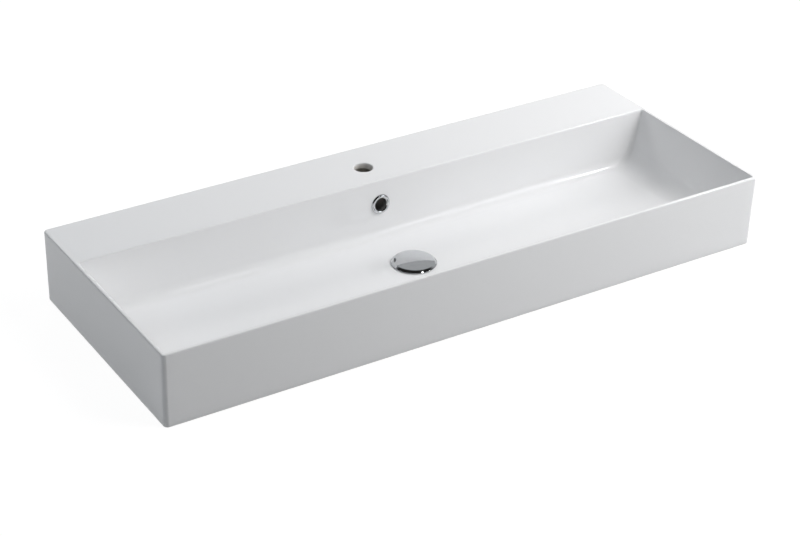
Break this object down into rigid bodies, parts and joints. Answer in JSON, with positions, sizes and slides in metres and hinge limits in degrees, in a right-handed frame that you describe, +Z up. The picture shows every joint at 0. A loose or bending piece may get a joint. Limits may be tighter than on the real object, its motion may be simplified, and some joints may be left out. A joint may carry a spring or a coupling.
{
  "type": "countertop basin",
  "caption": "Wide rectangular white ceramic basin with a rear tap deck, one tap hole, a chromed overflow ring and a chromed push plug that clicks open and shut.",
  "frame": {"origin": "centre of the plane on which the basin's foot stands, half way between its left and right faces and between its front and rear faces", "axes": "+X to the right seen from the front, -Y to the front, +Z up out of the bowl"},
  "size_m": [1.2, 0.46, 0.191],
  "materials": {
    "ceramic": "gloss",
    "chrome": "polished",
    "brass": "satin",
    "black_rubber": "matte",
    "white_plastic": "satin",
    "acetal": "satin",
    "spring_steel": "satin"
  },
  "bodies": {
    "basin": {"basin_body": "ceramic", "overflow_ring": "chrome", "overflow_sleeve": "black_rubber", "waste_body": "chrome", "flange_seal": "black_rubber", "cone_seal": "black_rubber", "slip_washer": "white_plastic", "back_nut": "brass", "click_housing": "acetal", "housing_locknut": "brass", "click_end_cap": "acetal", "click_spring": "spring_steel"},
    "plug": {"plug_cap": "chrome", "plug_seal": "black_rubber", "seal_carrier": "white_plastic", "plug_stem": "brass", "stem_locknut": "brass", "click_plunger": "acetal"},
    "latch_rotor": {"click_rotor": "brass"}
  },
  "joints": [
    {"name": "plug_lift", "type": "slide", "parent": "basin", "child": "plug", "axis": [0, 0, 1], "range_m": [-0.001, 0.009], "deforming": ["click_spring", "plug_seal"]},
    {"name": "rotor_turn", "type": "hinge", "parent": "plug", "child": "latch_rotor", "pos_m": [0, -0.021, -0.0166], "axis": [0, 0, 1], "range_deg": [-5, 45]}
  ],
  "couplings": [
    {"joint": "rotor_turn", "follows": "plug_lift", "rad_per_m": 87.261}
  ]
}
